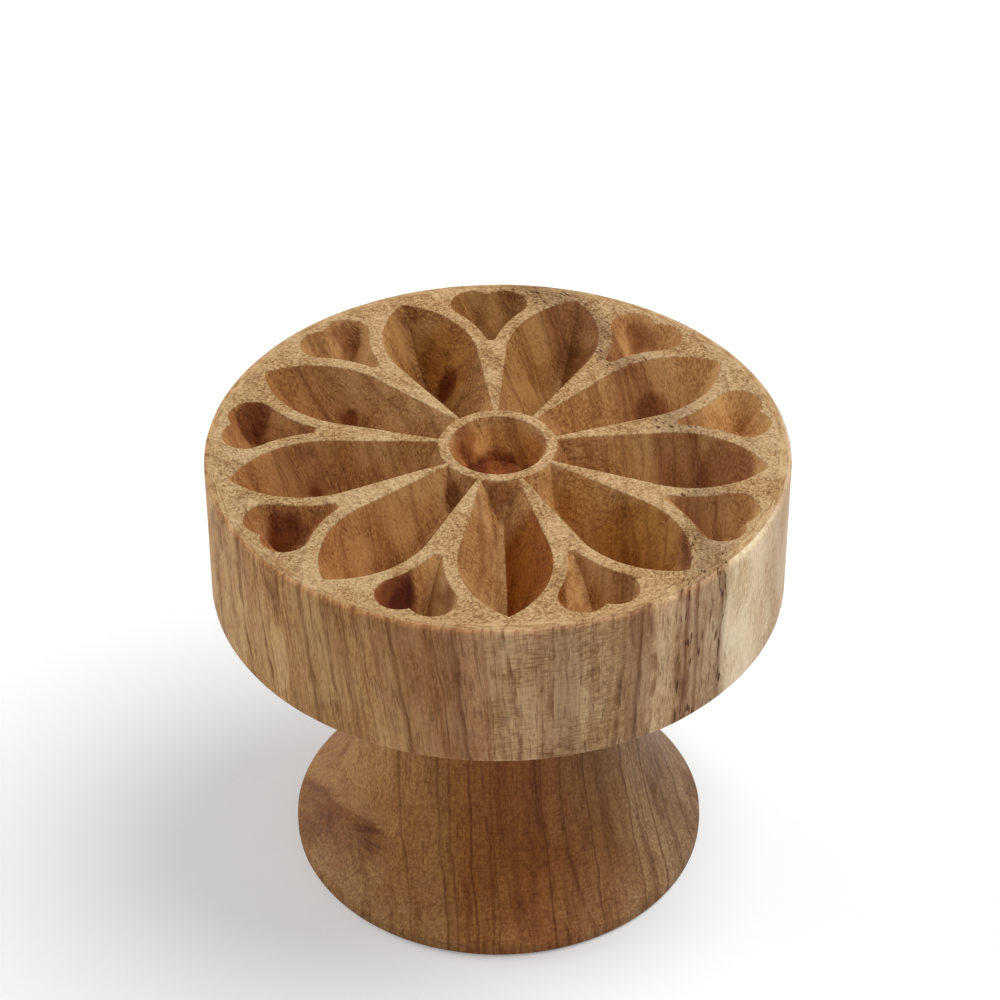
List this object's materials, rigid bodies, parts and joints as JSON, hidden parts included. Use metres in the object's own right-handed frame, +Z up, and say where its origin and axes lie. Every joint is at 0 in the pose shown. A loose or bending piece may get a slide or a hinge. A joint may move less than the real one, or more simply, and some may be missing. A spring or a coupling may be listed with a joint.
{
  "type": "cookie stamp",
  "caption": "Turned wooden hand stamp for cookie dough: a round head with a carved rosette of petals and hearts on a waisted handle with a broad foot.",
  "frame": {"origin": "centre of the flat underside of the handle's foot", "axes": "+Z up the turning axis, from the foot to the carved face; the first petal points along -Y"},
  "size_m": [0.07, 0.07, 0.0596],
  "materials": {
    "head_wood": "sanded and lightly oiled, end grain on the carved face",
    "handle_wood": "sanded and lightly oiled, dark streaked long grain",
    "dowel_wood": "raw hardwood"
  },
  "bodies": {
    "root": {"stamp_head": "head_wood", "handle": "handle_wood", "joint_dowel": "dowel_wood"}
  },
  "joints": []
}
